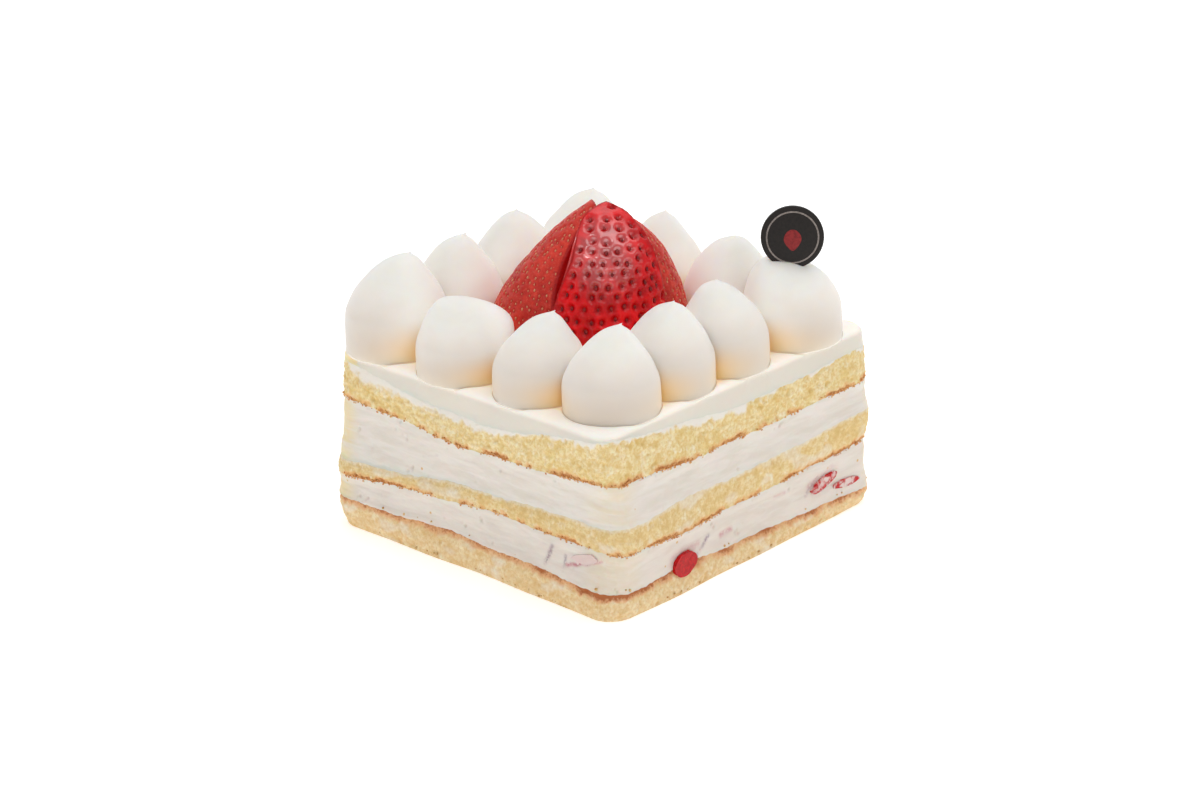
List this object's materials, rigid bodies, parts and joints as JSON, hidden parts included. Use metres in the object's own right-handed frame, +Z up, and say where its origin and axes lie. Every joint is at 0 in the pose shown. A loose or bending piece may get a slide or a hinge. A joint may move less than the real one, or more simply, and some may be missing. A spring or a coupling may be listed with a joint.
{
  "type": "strawberry shortcake",
  "caption": "Small square layer cake of sponge and cream, with a ring of piped cream kisses, a standing cut strawberry and a chocolate disc on top.",
  "frame": {"origin": "middle of the cake's flat underside, on the surface that it stands on", "axes": "+Z up, +X and +Y square to two of the cake's sides; the corner towards the viewer in the picture is at (+X, -Y)"},
  "size_m": [0.1126, 0.1122, 0.0936],
  "materials": {
    "sponge": "matte, open yellow crumb",
    "cream": "soft satin filling cream",
    "icing": "satin, wiped smooth",
    "kiss": "soft satin piped cream",
    "strawberry": "glossy skin, moist cut faces",
    "chocolate": "satin dark chocolate",
    "filling_fruit": "moist cut fruit"
  },
  "bodies": {
    "root": {"sponge_base": "sponge", "cream_lower": "cream", "sponge_middle": "sponge", "cream_upper": "cream", "sponge_top": "sponge", "icing_top": "icing", "kiss_left": "kiss", "kiss_front_a": "kiss", "kiss_front_b": "kiss", "kiss_near": "kiss", "kiss_side_a": "kiss", "kiss_side_b": "kiss", "kiss_right": "kiss", "kiss_far_a": "kiss", "kiss_far_b": "kiss", "kiss_back": "kiss", "kiss_rear_a": "kiss", "kiss_rear_b": "kiss", "strawberry_front": "strawberry", "strawberry_right": "strawberry", "strawberry_back": "strawberry", "strawberry_left": "strawberry", "chocolate_disc": "chocolate", "fruit_piece_1": "filling_fruit", "fruit_piece_2": "filling_fruit", "fruit_piece_3": "filling_fruit", "fruit_piece_4": "filling_fruit", "fruit_piece_5": "filling_fruit", "fruit_piece_6": "filling_fruit", "fruit_piece_7": "filling_fruit"}
  },
  "joints": []
}
